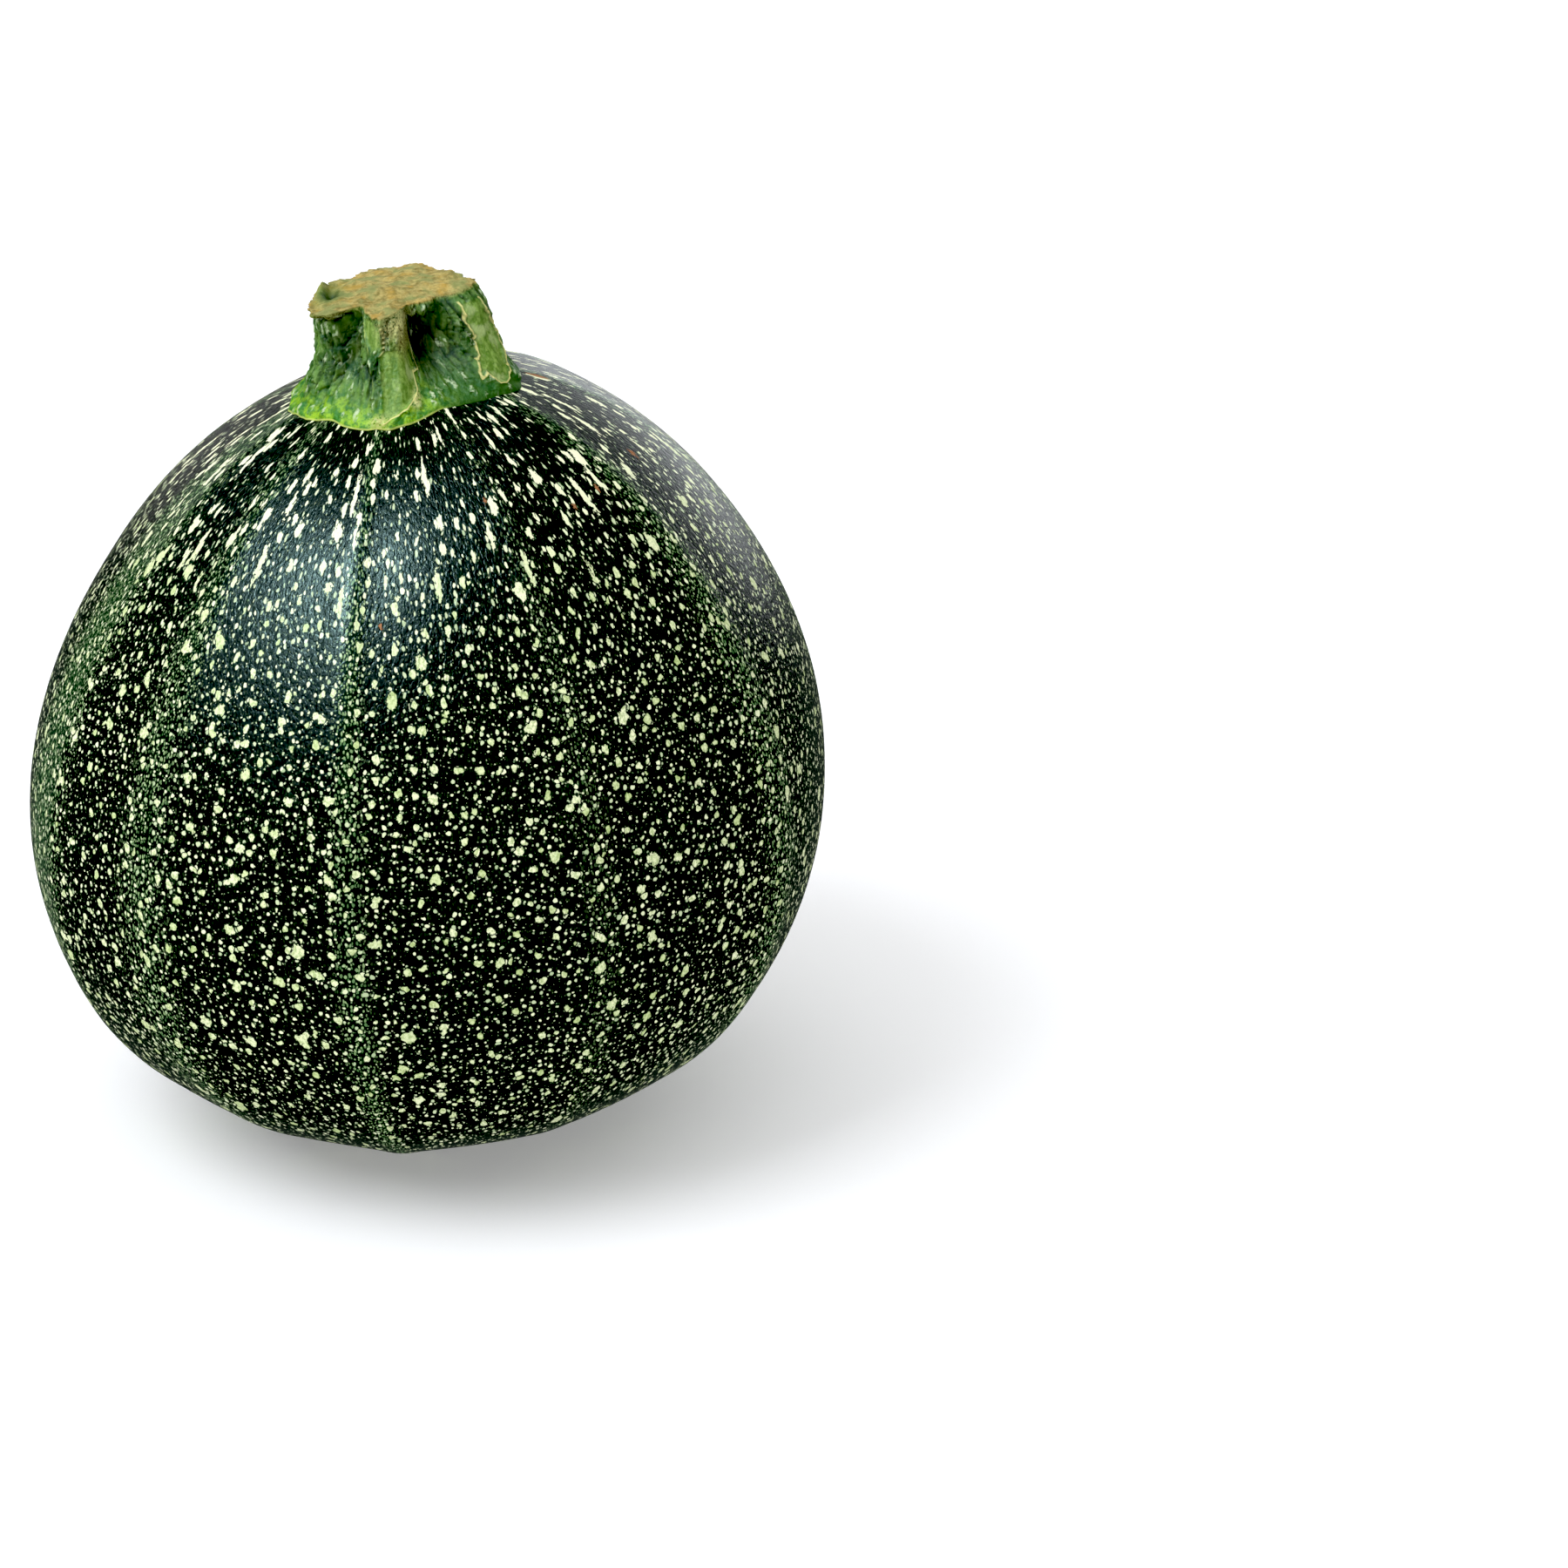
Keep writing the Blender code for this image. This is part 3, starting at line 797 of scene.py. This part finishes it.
def stem_finish():
    made, tree = new_finish("zucchini_stem")
    place = tree.scaled(tree.node("ShaderNodeTexCoord")["Object"], 1 / MM)
    drawn = tree.node("ShaderNodeMapping", None, {"Vector": place, "Scale": (1.0, 1.0, 0.35)})["Vector"]
    blotches = tree.grain(place, 0.45, 3.0)
    strands = tree.grain(drawn, 1.8, 4.0, 0.6)
    fine = tree.grain(place, 3.2, 4.0, 0.65)

    side = tree.mix(tree.step(blotches, 0.3, 0.7), linear(38, 82, 26), linear(100, 138, 58))
    side = tree.mix(tree.step(strands, 0.42, 0.7) * 0.6, side, linear(132, 162, 92))
    mottle = tree.step(tree.grain(place, 0.9, 3.0, 0.6), 0.4, 0.62)
    foot = tree.mix(mottle, linear(58, 132, 34), linear(156, 200, 28))
    side = tree.mix(tree.stored("foot") * (0.4 + 0.75 * strands), side, foot)
    side = tree.mix(tree.stored("deep") * 0.75, side, linear(34, 88, 26))
    side = tree.mix(tree.step(fine, 0.5, 0.3) * 0.5, side, linear(34, 78, 22))
    # Painted shade in the gaps between the warts, in the slits and in the strands' grooves
    side = tree.mix(tree.stored("gaps") * 0.85, side, linear(10, 36, 10))
    # The colour of the painted shade in the hollows: near black green, brown in places
    painted_shade = tree.mix(tree.step(strands, 0.48, 0.66), linear(10, 24, 9), linear(62, 52, 24))
    side = tree.mix(tree.stored("hollow") * 0.95, side, painted_shade)
    # Pale tips on the warts: partly their own whitish colour, partly a painted highlight
    pale_tips_and_highlight = tree.step(tree.stored("warts"), 0.45, 1.0) * tree.step(strands, 0.4, 0.62)
    side = tree.mix(pale_tips_and_highlight, side, linear(188, 206, 164))
    shaved = tree.mix(tree.step(strands, 0.35, 0.7), linear(92, 128, 44), linear(142, 170, 84))
    shaved = tree.mix(tree.step(fine, 0.5, 0.32) * 0.6, shaved, linear(66, 104, 36))
    shaved = tree.mix(tree.step(blotches, 0.52, 0.66) * 0.6, shaved, linear(186, 202, 140))
    side = tree.mix(tree.stored("facet") * 0.9, side, shaved)
    torn = tree.mix(tree.step(fine, 0.38, 0.58), linear(84, 64, 30), linear(164, 166, 92))
    side = tree.mix(tree.stored("torn") * 0.8, side, torn)
    side = tree.mix(tree.stored("crumbs") * tree.step(fine, 0.38, 0.52), side, linear(206, 204, 136))
    side = tree.mix(tree.step(tree.stored("edge"), 0.2, 1.0) * 0.7, side, linear(206, 214, 116))
    side = tree.mix(tree.step(tree.stored("line"), 0.25, 0.9) * 0.9, side, linear(218, 212, 136))

    grain = tree.grain(place, 1.3, 5.0, 0.65)
    cut = tree.mix(tree.step(grain, 0.34, 0.66), linear(128, 116, 60), linear(182, 166, 102))
    cut = tree.mix(tree.step(blotches, 0.52, 0.7) * 0.6, cut, linear(190, 152, 66))
    cut = tree.mix(tree.step(blotches, 0.52, 0.38) * 0.7, cut, linear(128, 140, 82))
    cut = tree.mix(tree.step(fine, 0.42, 0.28) * 0.45, cut, linear(96, 78, 40))
    colour = tree.mix(tree.stored("cut"), side, cut)
    # On the cut, the painted shade round the pit is a dim green
    colour = tree.mix(tree.stored("hollow") * tree.stored("cut") * 0.8, colour, linear(60, 84, 34))

    on_cut = tree.stored("cut")
    roughness = 0.52 + 0.3 * on_cut - 0.12 * tree.stored("warts")
    bump = strands * 0.5 + fine * 0.8 * (1 - 0.6 * on_cut) + grain * on_cut * 0.7
    finish_with(tree, colour, roughness, bump, STEM_RELIEF * MM)
    return made


# The picture

PALE = (0.86, 0.86, 0.865, 1.0)
FLOOR_RADIUS, FLOOR_GLOW = 4.0, 0.28
WINDOW_TINT = (0.62, 0.96, 0.98)
WHITE = (1.0, 1.0, 1.0)
# Lamps that show only in the gloss, each with its place, size, brightness and tint, then those that
# only light the surfaces
GLOSS_LAMPS = (
    ("window", (-0.5, -0.42, 0.84), (0.54, 0.66), 6.5, WINDOW_TINT),
    ("window_middle", (-0.435, -0.325, 0.91), (0.25, 0.31), 98.0, WINDOW_TINT),
    ("back_wall", (0.4, 1.12, 0.14), (0.8, 0.42), 3.0, (0.92, 0.97, 1.0)),
    ("back_left", (-0.4, 1.1, 0.06), (0.48, 0.11), 2.2, WHITE),
    ("under", (0.0, 0.45, -0.32), (1.4, 0.6), 0.12, (0.8, 1.0, 0.85)),
)
SHADE_LAMPS = (
    ("key", (-0.6, -0.4, 0.9), (0.7, 0.7), 5.1, (0.98, 1.0, 1.07)),
    ("ceiling", (0.0, 0.0, 2.5), (5.0, 5.0), 0.9, WHITE),
)
LIT_PLACE = (0.0, 0.0, 0.05)
ROOM_BRIGHTNESS = 0.85
CAMERA_PLACE, CAMERA_TILT, CAMERA_LENS = (0.04284, -0.73241, 0.36706), math.radians(66.0), 152.4
BLACK_LEVEL = 0.018


def floor():
    mesh = bpy.data.meshes.new("floor")
    shape = bmesh.new()
    bmesh.ops.create_circle(shape, cap_ends=True, radius=FLOOR_RADIUS, segments=96)
    shape.to_mesh(mesh)
    shape.free()
    made, tree = new_finish("pale_floor")
    given = {"Base Color": PALE, "Roughness": 0.9, "IOR": 1.2}
    given |= {"Emission Color": PALE, "Emission Strength": FLOOR_GLOW}
    shader = tree.node("ShaderNodeBsdfPrincipled", None, given)["BSDF"]
    tree.node("ShaderNodeOutputMaterial", None, {"Surface": shader})
    mesh.materials.append(made)
    laid = bpy.data.objects.new("floor", mesh)
    bpy.context.scene.collection.objects.link(laid)
    laid.visible_glossy = False


def soft_light(name, place, size, brightness, tint, in_gloss):
    """A rectangular lamp that faces the fruit, seen only in its gloss or only lighting surfaces."""
    light = bpy.data.lights.new(name, "AREA")
    light.shape = "RECTANGLE"
    light.size, light.size_y = size
    light.energy = brightness * math.pi * size[0] * size[1]
    light.color = tint
    made = bpy.data.objects.new(name, light)
    made.location = place
    made.rotation_euler = (Vector(LIT_PLACE) - Vector(place)).to_track_quat("-Z", "Y").to_euler()
    made.visible_camera = False
    made.visible_glossy = in_gloss
    made.visible_diffuse = not in_gloss
    bpy.context.scene.collection.objects.link(made)


def lights():
    for lamp in GLOSS_LAMPS:
        soft_light(*lamp, in_gloss=True)
    for lamp in SHADE_LAMPS:
        soft_light(*lamp, in_gloss=False)
    world = bpy.data.worlds.new("studio")
    bpy.context.scene.world = world
    world.use_nodes = True
    world.node_tree.nodes.clear()
    tree = Tree(world.node_tree)
    outward = tree.node("ShaderNodeTexCoord")["Generated"]
    upward = tree.node("ShaderNodeSeparateXYZ", None, {"Vector": outward})["Z"]
    shade = tree.mix(tree.step(upward, 0.1, 0.6), (1.0, 1.0, 1.0, 1.0), (0.3, 0.31, 0.33, 1.0))
    given = {"Color": shade, "Strength": ROOM_BRIGHTNESS}
    light = tree.node("ShaderNodeBackground", None, given)["Background"]
    tree.node("ShaderNodeOutputWorld", None, {"Surface": light})
    world.cycles_visibility.glossy = False


def camera():
    made = bpy.data.objects.new("camera", bpy.data.cameras.new("camera"))
    made.data.lens = CAMERA_LENS
    made.location = CAMERA_PLACE
    made.rotation_euler = (CAMERA_TILT, 0.0, 0.0)
    bpy.context.scene.collection.objects.link(made)
    bpy.context.scene.camera = made


def main():
    group, sizes = fruit_shape()
    fruit = made_by("speckled_fruit", group, {**sizes, "Skin": skin_finish()})
    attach(fruit, "root")
    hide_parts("fruit")
    stem = stem_piece(stem_finish())
    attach(stem, "root")
    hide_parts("stem")
    floor()
    lights()
    camera()
    picture = bpy.context.scene.view_settings
    picture.view_transform = "Standard"
    picture.use_curve_mapping = True
    picture.curve_mapping.black_level = (BLACK_LEVEL, BLACK_LEVEL, BLACK_LEVEL)
    picture.curve_mapping.update()


main()
